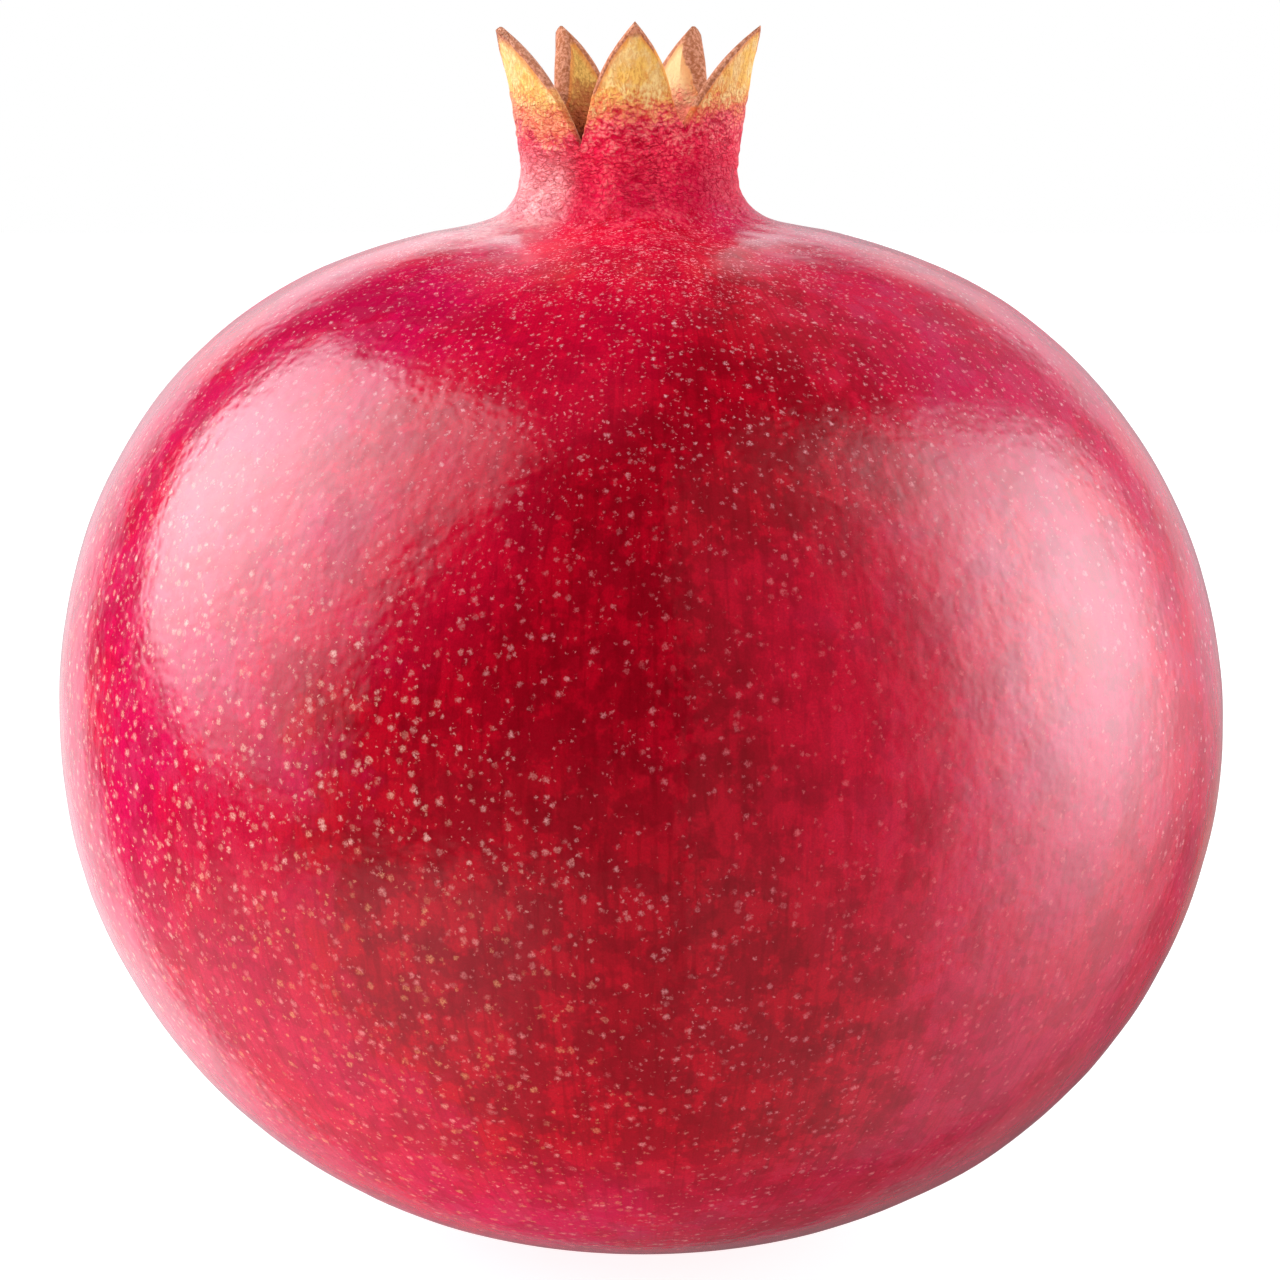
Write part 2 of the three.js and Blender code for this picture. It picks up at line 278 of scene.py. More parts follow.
def cup_grid(fifth):
    """The inside of the tube, from its floor's middle up to the rim."""
    along, across = unit_grid(ROWS["cup"], ACROSS)
    rim = rim_height(fifth, across)
    crease = CREASE_DEPTH * (1 - fullness(across))
    rim_radius = tube_radius(rim) - crease - wall_thickness(LOBES[fifth], across, 0 * along)
    slope = np.pi / 2 * (1 - along)
    radius = rim_radius * np.maximum(np.cos(slope), 0) ** (2 / CUP_POWER)
    height = rim - (rim - CUP_FLOOR) * np.sin(slope) ** (2 / CUP_POWER)
    return place(azimuth_at(fifth, across), radius, height)


# ---- Rind: one closed mesh ----

FAR = 9.0  # what from_margin says well away from any margin


def weld(points, quads):
    """Makes points that coincide one: which points are kept, and faces without repeated corners."""
    _, first, label = np.unique(np.round(points, 4), axis=0, return_index=True, return_inverse=True)
    faces = []
    for quad in label.ravel()[np.asarray(quads)].tolist():
        corners = [v for i, v in enumerate(quad) if v != quad[i - 1]]
        if len(corners) > 2:
            faces.append(corners)
    return first, faces


class Patchwork:
    """Grids of points that share their borders, welded into one mesh with values on its points."""

    def __init__(self):
        self.points = []
        self.quads = []
        self.values = {"rise": [], "inside": [], "from_margin": []}
        self.count = 0

    def add(self, points, turned, rise=0.0, inside=0.0, from_margin=FAR):
        rows, columns = points.shape[:2]
        index = self.count + np.arange(rows * columns).reshape(rows, columns)
        corners = [index[:-1, :-1], index[:-1, 1:], index[1:, 1:], index[1:, :-1]]
        if turned:
            corners.reverse()
        self.points.append(points.reshape(-1, 3))
        self.quads.append(np.stack([c.ravel() for c in corners], axis=-1))
        for name, value in (("rise", rise), ("inside", inside), ("from_margin", from_margin)):
            self.values[name].append(np.broadcast_to(value, (rows, columns)).ravel())
        self.count += rows * columns

    def welded(self):
        """Welded points, their faces, and the values of each point's first patch."""
        points = np.concatenate(self.points)
        first, faces = weld(points, np.concatenate(self.quads))
        values = {name: np.concatenate(parts)[first] for name, parts in self.values.items()}
        return points[first], faces, values


def rind_patches():
    """All the rind's patches, margins first, so that the points they share are marked as margins."""
    work = Patchwork()
    for fifth in range(len(LOBES)):
        for side in (0, 1):
            points, rise, depth, from_margin = lobe_margin(fifth, side)
            work.add(points, side == 0, rise, depth, from_margin)
    for fifth in range(len(LOBES)):
        for depth in (0.0, 1.0):
            points, rise, from_margin = lobe_face(fifth, depth)
            work.add(points, depth == 1.0, rise, depth, from_margin)
        work.add(body_grid(fifth), False)
        work.add(tube_grid(fifth), False)
        work.add(cup_grid(fifth), True, 0.0, 1.0)
    return work


def new_mesh(name, points, faces):
    """A smooth-shaded piece in the scene, from points in metres."""
    mesh = bpy.data.meshes.new(name)
    mesh.from_pydata(points.tolist(), [], faces)
    mesh.validate()
    mesh.shade_smooth()
    piece = bpy.data.objects.new(name, mesh)
    bpy.context.scene.collection.objects.link(piece)
    return piece


def point_normals(mesh):
    normals = np.empty(len(mesh.vertices) * 3)
    mesh.vertices.foreach_get("normal", normals)
    return normals.reshape(-1, 3)


def set_points(mesh, points):
    mesh.vertices.foreach_set("co", points.ravel())
    mesh.update()


def store(mesh, name, values):
    """Keeps a value for each point, for a material to read by name."""
    attribute = mesh.attributes.new(name, "FLOAT", "POINT")
    attribute.data.foreach_set("value", np.ascontiguousarray(values, dtype=np.float32))


def noise_at(points, scale):
    """Smooth noise of about -1 to 1 at points, with scale as features a millimetre, by axis."""
    scaled = points * np.asarray(scale, dtype=float)
    return np.array([noise.noise(Vector(p)) for p in scaled.tolist()])


def round_the_axis(points, radius):
    """Points moved onto a cylinder of that radius, so that stretched noise follows the meridians."""
    flat = np.hypot(points[:, 0], points[:, 1])
    scale = radius / np.maximum(flat, 0.5)
    return np.stack([points[:, 0] * scale, points[:, 1] * scale, points[:, 2]], axis=-1)


# Relief in millimetres, each with its scale as features a millimetre: shallow dents and fine
# leather on the body, crinkles on the neck's red part, and fibres up the lobes.
DENTS = [(0.10, 0.09), (0.045, 0.24)]
LEATHER_DEPTH, LEATHER_SCALE = 0.015, 0.55
CRINKLES = [(0.09, (0.5, 0.5, 1.5)), (0.07, (1.1, 1.1, 2.4))]
FIBRE_DEPTH, FIBRE_SCALE = 0.05, (1.9, 1.9, 0.35)


def rind_relief(points, values):
    """How far each point of the rind moves out along its normal, in millimetres."""
    height = points[:, 2]
    clear = smoothstep(height, 0.6, 5) * (1 - values["inside"])
    neck = smoothstep(height, 80, 87)
    red_part = neck * (1 - smoothstep(values["rise"], 0.35, 0.6))
    wrapped = round_the_axis(points, WAIST_RADIUS)
    dents = sum(depth * noise_at(points, scale) for depth, scale in DENTS)
    leather = LEATHER_DEPTH * noise_at(points, LEATHER_SCALE) * (1 - neck)
    crinkle = sum(depth * noise_at(wrapped, scale) for depth, scale in CRINKLES)
    fibre = FIBRE_DEPTH * noise_at(wrapped, FIBRE_SCALE) * neck * smoothstep(values["rise"], 0.2, 0.5)
    return clear * (dents * (1 - neck) + leather + crinkle * red_part + fibre)


CROWN_MATERIAL_FROM = 77.5  # the height where the crown's material takes over from the body's


def build_rind():
    """The rind with its relief, and its faces shared by height between its two materials."""
    points, faces, values = rind_patches().welded()
    piece = new_mesh("rind", points * MM, faces)
    mesh = piece.data
    moved = points + point_normals(mesh) * rind_relief(points, values)[:, None]
    set_points(mesh, moved * MM)
    for name, value in values.items():
        store(mesh, name, value)
    for face in mesh.polygons:
        lowest = min(points[v][2] for v in face.vertices)
        face.material_index = int(lowest > CROWN_MATERIAL_FROM)
    return piece


# ---- Materials: a small language for nodes ----


class Graph:
    """Adds nodes to a tree. A value may be a number, a colour, a vector or another node's output."""

    def __init__(self, tree):
        self.tree = tree
        tree.nodes.clear()

    def plug(self, value, socket):
        if isinstance(value, bpy.types.NodeSocket):
            self.tree.links.new(value, socket)
        else:
            socket.default_value = value

    def add(self, kind, inputs=None, **settings):
        node = self.tree.nodes.new("ShaderNode" + kind)
        for name, value in settings.items():
            setattr(node, name, value)
        for name, value in (inputs or {}).items():
            self.plug(value, node.inputs[name])
        return node

    def math(self, operation, a, b=0.0):
        return self.add("Math", {0: a, 1: b}, operation=operation).outputs[0]

    def product(self, first, *others):
        for other in others:
            first = self.math("MULTIPLY", first, other)
        return first

    def total(self, first, *others):
        for other in others:
            first = self.math("ADD", first, other)
        return first

    def highest(self, first, *others):
        for other in others:
            first = self.math("MAXIMUM", first, other)
        return first

    def vector(self, operation, a, b=(0.0, 0.0, 0.0)):
        node = self.add("VectorMath", {0: a, 1: b}, operation=operation)
        return node.outputs["Value" if operation in ("DOT_PRODUCT", "LENGTH") else "Vector"]

    def ramp(self, value, low, high, start=0.0, end=1.0):
        """From start at low to end at high, smoothly, and level beyond them."""
        inputs = {"Value": value, 1: low, 2: high, 3: start, 4: end}
        return self.add("MapRange", inputs, interpolation_type="SMOOTHSTEP").outputs[0]

    def fade(self, value, low, high):
        """1 up to low, 0 from high on, and smooth between them."""
        return self.ramp(value, low, high, 1.0, 0.0)

    def span(self, share, start, end):
        """From start where share is 0 to end where it is 1, smoothly."""
        return self.ramp(share, 0.0, 1.0, start, end)

    def near(self, value, middle, inner, outer, start=1.0, end=0.0):
        """Start where the value is within inner of the middle, end where it is beyond outer of it."""
        away = self.math("ABSOLUTE", self.math("SUBTRACT", value, middle))
        return self.ramp(away, inner, outer, start, end)

    def mix(self, share, a, b):
        """Colour a where share is 0 and colour b where it is 1."""
        a, b = (rgba(c) if isinstance(c, tuple) else c for c in (a, b))
        return self.add("Mix", {0: share, 6: a, 7: b}, data_type="RGBA").outputs[2]

    def between(self, share, a, b):
        """The number a where share is 0 and b where it is 1."""
        return self.add("Mix", {0: share, 2: a, 3: b}, data_type="FLOAT").outputs[0]

    def parts(self, vector):
        """A vector's x, y and z."""
        return self.add("SeparateXYZ", {0: vector}).outputs

    def seen_directly(self):
        """1 for what the camera sees directly, 0 for the light that falls on the fruit."""
        return self.add("LightPath").outputs["Is Camera Ray"]

    def attribute(self, name):
        """A value kept on the mesh's points."""
        return self.add("Attribute", attribute_name=name).outputs["Fac"]

    def noise(self, vector, size, detail=2.0, roughness=0.5):
        """Noise of about 0 to 1 whose features are that many millimetres across."""
        inputs = {"Vector": vector, "Scale": 1 / size, "Detail": detail, "Roughness": roughness}
        return self.add("TexNoise", inputs).outputs[0]

    def shifts(self, vector, size, amount):
        """The vector, moved by up to about that many millimetres by noise."""
        inputs = {"Vector": vector, "Scale": 1 / size, "Detail": 3.0, "Roughness": 0.65}
        colour = self.add("TexNoise", inputs).outputs["Color"]
        centred = self.vector("SUBTRACT", colour, (0.5, 0.5, 0.5))
        return self.vector("ADD", vector, self.vector("MULTIPLY", centred, (2 * amount,) * 3))

    def position(self):
        """The place on the piece, in millimetres."""
        place_in_metres = self.add("TexCoord").outputs["Object"]
        return self.vector("MULTIPLY", place_in_metres, (1000.0, 1000.0, 1000.0))


def rgba(colour):
    return (*colour, 1.0)


def new_material(name):
    material = bpy.data.materials.new(name)
    material.use_nodes = True
    return material, Graph(material.node_tree)


def finish_surface(graph, colour, roughness, height, gloss=0.5):
    """Ends a material in a Principled surface, with height as relief in millimetres."""
    bump = graph.add("Bump", {"Height": height, "Distance": MM, "Strength": 1.0})
    inputs = {
        "Base Color": colour,
        "Roughness": roughness,
        "Normal": bump.outputs[0],
        "Specular IOR Level": gloss,
    }
    surface = graph.add("BsdfPrincipled", inputs)
    graph.add("OutputMaterial", {"Surface": surface.outputs[0]})


# ---- Materials: the rind ----

CRIMSON = (0.80, 0.003, 0.090)
SCARLET = (0.84, 0.004, 0.066)
ROSE = (0.68, 0.035, 0.120)
PURE_RED = (0.88, 0.002, 0.036)
MAROON = (0.42, 0.001, 0.028)
# Shaded copies of the reds, for painted shade down the front, at the back and low down.
SHADED_FRONT_RED = (0.66, 0.001, 0.017)
SHADED_FRONT_CRIMSON = (0.46, 0.001, 0.013)
SHADED_FRONT_MAROON = (0.27, 0.0004, 0.006)
LENTICEL_WHITE = (1.0, 0.52, 0.55)
LENTICEL_PINK = (1.0, 0.15, 0.18)
LENTICEL_CREAM = (1.0, 0.50, 0.42)
LENTICEL_ORANGE = (1.0, 0.42, 0.14)
# The valleys between the pebbles take the darker reds, partly as painted shade.
CROWN_VALLEY = (0.46, 0.001, 0.024)
CROWN_RED = (0.78, 0.003, 0.052)
# The pebbles' tops take the lighter ridge and pink colours, partly as painted highlight.
CROWN_RIDGE = (1.0, 0.035, 0.095)
CROWN_PINK = (1.0, 0.25, 0.24)
# Painted sheen on the neck's left side.
CROWN_SHEEN_PINK = (1.0, 0.52, 0.50)
CROWN_FLECK = (1.0, 0.34, 0.42)
CROWN_SHADE = (0.58, 0.003, 0.044)
CROWN_YELLOW = (1.0, 0.60, 0.14)
CROWN_TAN = (1.0, 0.72, 0.30)
CROWN_BRONZE = (0.80, 0.36, 0.08)
CROWN_ORANGE = (0.80, 0.20, 0.05)
CROWN_ORANGE_RIDGE = (1.0, 0.34, 0.15)
MARGIN_BROWN = (0.46, 0.15, 0.07)
MARGIN_PINK = (0.72, 0.32, 0.20)
INNER_YELLOW = (1.0, 0.64, 0.18)
INNER_OLIVE = (0.74, 0.40, 0.10)
INNER_PALE = (1.0, 0.74, 0.38)
INNER_BLUSH = (0.90, 0.22, 0.15)
INNER_RED = (0.52, 0.13, 0.05)
# Painted shade down in the cup.
CUP_SHADE = (0.14, 0.012, 0.010)
ORANGE_BLUSH = (1.0, 0.30, 0.06)
BLACK = (0.0, 0.0, 0.0)

# Directions from the body's middle, as azimuth and elevation, to where its skin differs: the lit upper left
# and the places with painted shade, and where its spots and blush change.
MIDDLE = (0.0, 0.0, EQUATOR)
# Directions round the upper left, which the painted shade spares, as if lit.
LIT_UPPER_LEFT = [(-22, 46), (-30, 27), (-19, 56)]
# Places whose skin takes painted shade, the shaded copies of its reds: low on the right, the back, low on
# the front's left.
SHADED_PLACES = [  # each with the cosines where it starts and ends, and how deep it gets
    ((62, -42), 0.55, 0.95, 0.4),
    ((180, 0), 0.06, 0.56, 0.9),
    ((-34, -24), 0.84, 0.985, 0.55),
]
WORN_SIDE = (-65, -25)
PLAIN_SIDE = (85, 25)
LOW_LEFT = (-28, -36)
BLUSH_SIDE = (87, -13)

# Sizes of the skin's markings in millimetres: a spot's cell, and its smallest and largest radius.
CLOUDS = 12.0
MOTTLE = 3.6
DUSK = 4.5
DUSK_SHIFT = (31.0, 17.0, 5.0)
STREAKS = 0.6
STREAK_RISE = 0.12  # how fast streaks change up the fruit, as a share of how fast they do round it
SPOT_CLUSTERS = 4.5
MEDIUM_SPOTS = (0.90, 0.15, 0.30)
SMALL_SPOTS = (0.50, 0.08, 0.155)
GRAIN = 0.16
LEATHER = 1.0

# Roughness and gloss of the skin, of its spots, and of the duller top.
SKIN_ROUGHNESS = 0.13
DULL_ROUGHNESS = 0.25
SPOT_ROUGHNESS = 0.1
SKIN_GLOSS = 0.62
SPOT_GLOSS = 0.5
DULL_GLOSS = 0.1


def heading(azimuth, elevation):
    """The unit vector towards an azimuth and an elevation, in degrees."""
    turn, raised = math.radians(azimuth), math.radians(elevation)
    return (math.sin(turn) * math.cos(raised), -math.cos(turn) * math.cos(raised), math.sin(raised))


def meridian_place(graph, where):
    """The place moved onto a cylinder, so that noise along it makes streaks that follow the meridians."""
    level = graph.vector("MULTIPLY", where, (1, 1, 0))
    outward = graph.vector("NORMALIZE", level)
    around = graph.vector("MULTIPLY", outward, (BODY_RADIUS, BODY_RADIUS, 0))
    upward = graph.vector("MULTIPLY", where, (0, 0, STREAK_RISE))
    return graph.vector("ADD", around, upward)


def facing(graph, where, direction):
    """How far a place on the fruit lies towards a direction: the cosine of the angle between them."""
    outward = graph.vector("NORMALIZE", graph.vector("SUBTRACT", where, MIDDLE))
    return graph.vector("DOT_PRODUCT", outward, heading(*direction))


def lenticels(graph, ragged, sizes, density, scale=1.0):
    """Scattered ragged spots, each with its own size and strength: how strong, and a chance for each."""
    cell, smallest, largest = sizes
    voronoi = graph.add("TexVoronoi", {"Vector": ragged, "Scale": 1 / cell, "Randomness": 1})
    away = graph.math("MULTIPLY", voronoi.outputs["Distance"], cell)
    chances = graph.add("SeparateColor", {0: voronoi.outputs["Color"]}).outputs
    size = graph.product(graph.span(chances[0], smallest, largest), scale)
    share = graph.math("DIVIDE", away, size)
    spot = graph.fade(share, 0.25, 1.2)
    kept = graph.math("LESS_THAN", chances[1], density)
    hollow = graph.ramp(share, 0.2, 0.6, 0.35, 1)
    hollowed = graph.between(graph.math("GREATER_THAN", chances[2], 0.6), 1, hollow)
    strength = graph.ramp(chances[1], 0, 0.9, 1, 0.4)
    return graph.product(spot, kept, hollowed, strength), chances[2]


def bearing(graph, where):
    """The azimuth of a place, in degrees: 0 at the front, and more to the right."""
    x, y, _ = graph.parts(where)
    turn = graph.math("ARCTAN2", x, graph.math("MULTIPLY", y, -1))
    return graph.math("MULTIPLY", turn, 180 / math.pi)


def front_shade_band(graph, wandering, height):
    """1 in the band of painted shade down the front, whose two ends lean with the height, and 0 beside it.
    """
    lean_left = graph.product(graph.ramp(height, 15, 25, 0, 8), graph.fade(height, 48, 60))
    lean_right = graph.total(
        graph.ramp(height, 20, 50, -9, 6),
        graph.ramp(height, 58, 68, 0, -16),
    )
    left_end = graph.ramp(graph.total(wandering, lean_left), -32, -18)
    right_end = graph.ramp(graph.total(wandering, lean_right), 4, 36, 1, 0.05)
    return graph.product(left_end, right_end)


def painted_skin_shade(graph, where, wandering, height):
    """How much painted shade the skin gets: 0 where it is lit to 1 where it is darkest, over the front
    band, the back and two low places, and less on the lit upper left.
    """
    # The upper left is spared the painted shade, as if lit.
    paler = graph.highest(*[facing(graph, where, direction) for direction in LIT_UPPER_LEFT])
    lit_upper_left = graph.ramp(paler, 0.93, 0.985, 1, 0.3)
    height_fade = graph.product(graph.ramp(height, 3, 16), graph.ramp(height, 79, 90, 1, 0.4))
    shade_share = graph.product(front_shade_band(graph, wandering, height), height_fade, lit_upper_left)
    places = [
        graph.ramp(facing(graph, where, direction), starts, ends, 0, depth)
        for direction, starts, ends, depth in SHADED_PLACES
    ]
    return graph.highest(shade_share, *places)


def skin_colour(graph, where, height, azimuth):
    """Crimson clouded with scarlet, rose and maroon, with painted shade down the fruit's front, at its back
    and low down.
    """
    clouds = graph.noise(where, CLOUDS, 2, 0.6)
    mottle = graph.noise(where, MOTTLE, 4, 0.72)
    dusk = graph.noise(graph.vector("ADD", where, DUSK_SHIFT), DUSK, 3, 0.7)
    streaks = graph.noise(meridian_place(graph, where), STREAKS, 2, 0.65)
    wobble = graph.total(
        graph.ramp(clouds, 0.25, 0.75, -4.5, 4.5),
        graph.ramp(mottle, 0.25, 0.75, -5, 5),
    )
    wandering = graph.total(azimuth, wobble)
    shade_share = painted_skin_shade(graph, where, wandering, height)
    light = graph.mix(graph.ramp(clouds, 0.45, 0.56), CRIMSON, SCARLET)
    light = graph.mix(graph.ramp(mottle, 0.50, 0.55, 0, 0.5), light, ROSE)
    # A less blue red near the front, going with the painted shade there.
    near_front = graph.near(wandering, 0, 18, 42, 0.85)
    light = graph.mix(graph.product(near_front, graph.ramp(height, 8, 24)), light, PURE_RED)
    # Shaded copies of the reds, used where the painted shade falls.
    dark = graph.mix(graph.ramp(mottle, 0.45, 0.55), SHADED_FRONT_CRIMSON, SHADED_FRONT_RED)
    colour = graph.mix(shade_share, light, dark)
    # Maroon patches and streaks, in their shaded copy where the painted shade falls.
    maroon_and_shade = graph.mix(shade_share, MAROON, SHADED_FRONT_MAROON)
    colour = graph.mix(graph.ramp(dusk, 0.50, 0.56, 0, 0.34), colour, maroon_and_shade)
    streaky = graph.product(graph.ramp(streaks, 0.46, 0.68), graph.span(shade_share, 0.22, 0.4))
    return graph.mix(streaky, colour, maroon_and_shade)


def skin_spots(graph, where, height):
    """How strong the lenticels are at each place, and their colour."""
    clusters = graph.noise(where, SPOT_CLUSTERS, 2, 0.65)
    worn = graph.ramp(facing(graph, where, WORN_SIDE), -0.1, 0.9)
    high = graph.ramp(height, 50, 78)
    crowding = graph.total(graph.product(worn, 0.14), graph.product(high, 0.25))
    density = graph.ramp(graph.total(clusters, crowding), 0.38, 0.66, 0.22, 1)
    ragged = graph.shifts(where, 0.30, 0.36)
    scale = graph.total(graph.span(high, 1, 0.8), graph.ramp(worn, 0.5, 1, 0, 0.22))
    medium, kind = lenticels(graph, ragged, MEDIUM_SPOTS, density, scale)
    rarer = graph.total(graph.ramp(high, 0.2, 1, 0.3, 0.75), graph.product(worn, 0.15))
    small, _ = lenticels(graph, ragged, SMALL_SPOTS, graph.product(density, rarer))
    spots = graph.highest(medium, graph.product(small, 0.85))

    plain = graph.highest(worn, high, graph.ramp(facing(graph, where, PLAIN_SIDE), 0.6, 0.95))
    low_left = graph.ramp(facing(graph, where, LOW_LEFT), 0.80, 0.95)
    spots = graph.product(spots, graph.span(plain, 0.6, 1))
    spots = graph.product(spots, graph.span(low_left, 1, 0.75))
    whiteness = graph.total(graph.product(kind, 0.12), graph.product(plain, 0.8))
    creamy = graph.ramp(worn, 0.45, 0.95)
    colour = graph.mix(whiteness, LENTICEL_PINK, LENTICEL_WHITE)
    colour = graph.mix(creamy, colour, LENTICEL_CREAM)
    colour = graph.mix(graph.product(low_left, 0.6), colour, LENTICEL_PINK)
    orange = graph.product(graph.ramp(kind, 0.5, 0.75), creamy, graph.span(low_left, 0.3, 0.8))
    return spots, graph.mix(orange, colour, LENTICEL_ORANGE)


def rind_skin(graph, where, height, azimuth, off_neck=1.0):
    """The body's skin: its colour, its spots' strength and its relief."""
    skin = skin_colour(graph, where, height, azimuth)
    spots, spot_colour = skin_spots(graph, where, height)
    grain = graph.noise(where, GRAIN, 1, 0.7)
    spots = graph.product(spots, graph.ramp(grain, 0.34, 0.56, 0.4, 1), off_neck)
    blush = graph.ramp(facing(graph, where, BLUSH_SIDE), 0.955, 0.998)
    blush = graph.product(blush, graph.ramp(grain, 0.3, 0.7), 0.5)
    colour = graph.mix(graph.ramp(grain, 0.35, 0.65, 0, 0.13), skin, BLACK)
    colour = graph.mix(blush, colour, ORANGE_BLUSH)
    colour = graph.mix(spots, colour, spot_colour)
    leather = graph.noise(where, LEATHER, 1, 0.4)
    relief = graph.product(leather, graph.ramp(height, 74, 81, 0.045, 0.02))
    return colour, spots, relief


def duller_top(graph, height, azimuth):
    """1 on the upper shoulder's sides and back, where the skin is less glossy, and 0 elsewhere."""
    aside = graph.near(azimuth, 0, 66, 92, 0, 1)
    return graph.product(aside, graph.ramp(height, 69, 77))


def skin_gloss(graph, spots, duller):
    """The skin's gloss, which is lower on spots and much lower on the duller top."""
    spotted = graph.span(spots, SKIN_GLOSS, SPOT_GLOSS)
    return graph.product(spotted, graph.span(duller, 1, DULL_GLOSS))


def body_material():
    """The body's smooth, spotted skin."""
    material, graph = new_material("pomegranate_rind")
    where = graph.position()
    height = graph.parts(where)[2]
    azimuth = bearing(graph, where)
    colour, spots, relief = rind_skin(graph, where, height, azimuth)
    duller = duller_top(graph, height, azimuth)
    rough = graph.total(
        graph.product(spots, SPOT_ROUGHNESS),
        graph.span(duller, SKIN_ROUGHNESS, DULL_ROUGHNESS),
    )
    finish_surface(graph, colour, rough, relief, skin_gloss(graph, spots, duller))
    return material


# Sizes of the shoulder's and the crown's markings, in millimetres.
PATCHES = 1.6
FINE = 0.28
FLECKS = 0.26
FLECK_SHIFT = (7.0, 3.0, 9.0)
CREASES = 2.4
FIBRES = 0.24
PEBBLE_SIZE = 0.48
PEBBLE_STRETCH = (1.0, 1.0, 1.8)

# Azimuths of places on the crown.
LEFT_NOTCH = -44.0
SHADED_RIGHT = 42.0
PALER_LOBE = 146.0

# Roughness of the neck, and what the golden lobes and the scaly front shoulder add to theirs.
NECK_ROUGHNESS = 0.34
GOLD_ROUGHNESS = 0.2
SCALY_ROUGHNESS = 0.12


def pebbles(graph, where):
    """Rounded pebbles, wider than high, with narrow valleys between: 1 on top, 0 in a valley."""
    place_in_cells = graph.vector("MULTIPLY", graph.shifts(where, 0.55, 0.42), PEBBLE_STRETCH)
    inputs = {"Vector": place_in_cells, "Scale": 1 / PEBBLE_SIZE, "Randomness": 1.0}
    voronoi = graph.add("TexVoronoi", inputs)
    return graph.fade(voronoi.outputs["Distance"], 0.15, 0.95)


def crown_outside(graph, crinkle, grain, patches, fine, boundary, to_gold, orange_from):
    """Pebbled red up to the wandering boundary, with painted highlight on the pebbles' tops and painted
    shade in their valleys and creases, and fibrous gold above it, with orange between.
    """
    pinkness = graph.total(
        graph.ramp(patches, 0.48, 0.66, 0, 0.4),
        graph.ramp(boundary, 90.2, 92.2, 0, 0.6),
        graph.ramp(fine, 0.35, 0.65, -0.25, 0.25),
    )
    ridge = graph.mix(pinkness, CROWN_RIDGE, CROWN_PINK)
    orange_share = graph.ramp(orange_from, 91.9, 93.6, 0, 0.8)
    ridge = graph.mix(orange_share, ridge, CROWN_ORANGE_RIDGE)
    low = graph.mix(graph.ramp(patches, 0.40, 0.60), CROWN_VALLEY, CROWN_RED)
    low = graph.mix(graph.product(orange_share, 0.6), low, CROWN_ORANGE)
    # Pebble tops lighter and pinker, valleys and creases darker: painted highlight and painted shade on the
    # relief.
    red = graph.mix(crinkle, low, ridge)
    brownish = graph.mix(graph.ramp(boundary, 93.4, 96.5), CROWN_ORANGE, CROWN_BRONZE)
    golden = graph.mix(graph.ramp(patches, 0.42, 0.60), CROWN_YELLOW, CROWN_TAN)
    brownish = graph.mix(graph.ramp(boundary, 94, 98, 0.1, 0.5), brownish, golden)
    gold = graph.mix(grain, brownish, golden)
    return graph.mix(to_gold, red, gold)


def crown_inside(graph, grain, boundary, azimuth):
    """Golden at the top, paler on the right of the back, then red-brown, and painted shade darkening the
    cup.
    """
    paler = graph.near(azimuth, PALER_LOBE, 20, 34)
    inner = graph.mix(grain, INNER_OLIVE, INNER_YELLOW)
    inner = graph.mix(graph.product(paler, 0.9), inner, INNER_PALE)
    low = graph.mix(paler, INNER_RED, INNER_BLUSH)
    inner = graph.mix(graph.ramp(boundary, 92.4, 96.4), low, inner)
    # Below these heights the cup is painted dark as shade; the paler lobe stays clear of it lower down.
    clear_of_cup_shade = graph.total(boundary, graph.product(paler, 1.2))
    return graph.mix(graph.ramp(clear_of_cup_shade, 89.8, 92.6), CUP_SHADE, inner)


def fleck_share(graph, where, height, patches, wandering, low_in_front):
    """Pale scaly flecks on the shoulder, more and more of them towards the neck."""
    noise_share = graph.noise(graph.vector("ADD", where, FLECK_SHIFT), FLECKS, 2, 0.65)
    rise = graph.total(height, graph.total(graph.product(wandering, 1.5), low_in_front))
    flecks = graph.product(graph.ramp(noise_share, 0.575, 0.615), graph.ramp(rise, 79, 83.5, 0, 0.8))
    return graph.product(flecks, graph.ramp(patches, 0.44, 0.58, 0.15, 1))


def level_creases(graph, where, height):
    """1 in thin wavering creases round the neck, and 0 beside them."""
    stretched = graph.vector("MULTIPLY", graph.shifts(where, 1.1, 0.3), (1, 1, 3.4))
    crease = graph.near(graph.noise(stretched, CREASES, 2, 0.5), 0.5, 0, 0.035)
    return graph.product(crease, graph.ramp(height, 84.5, 86.5), graph.fade(height, 90.5, 92))


def shaded_crown(graph, crown, height, azimuth):
    """The crown's red with painted shade: darker on the right and low in front."""
    on_right = graph.product(
        graph.near(azimuth, SHADED_RIGHT, 8, 32, 0.65),
        graph.ramp(height, 87, 91, 1, 0.2),
    )
    low_front = graph.product(graph.ramp(height, 85, 90, 0.4, 0), graph.ramp(azimuth, -42, -34))
    return graph.mix(low_front, graph.mix(on_right, crown, CROWN_SHADE), CROWN_SHADE)


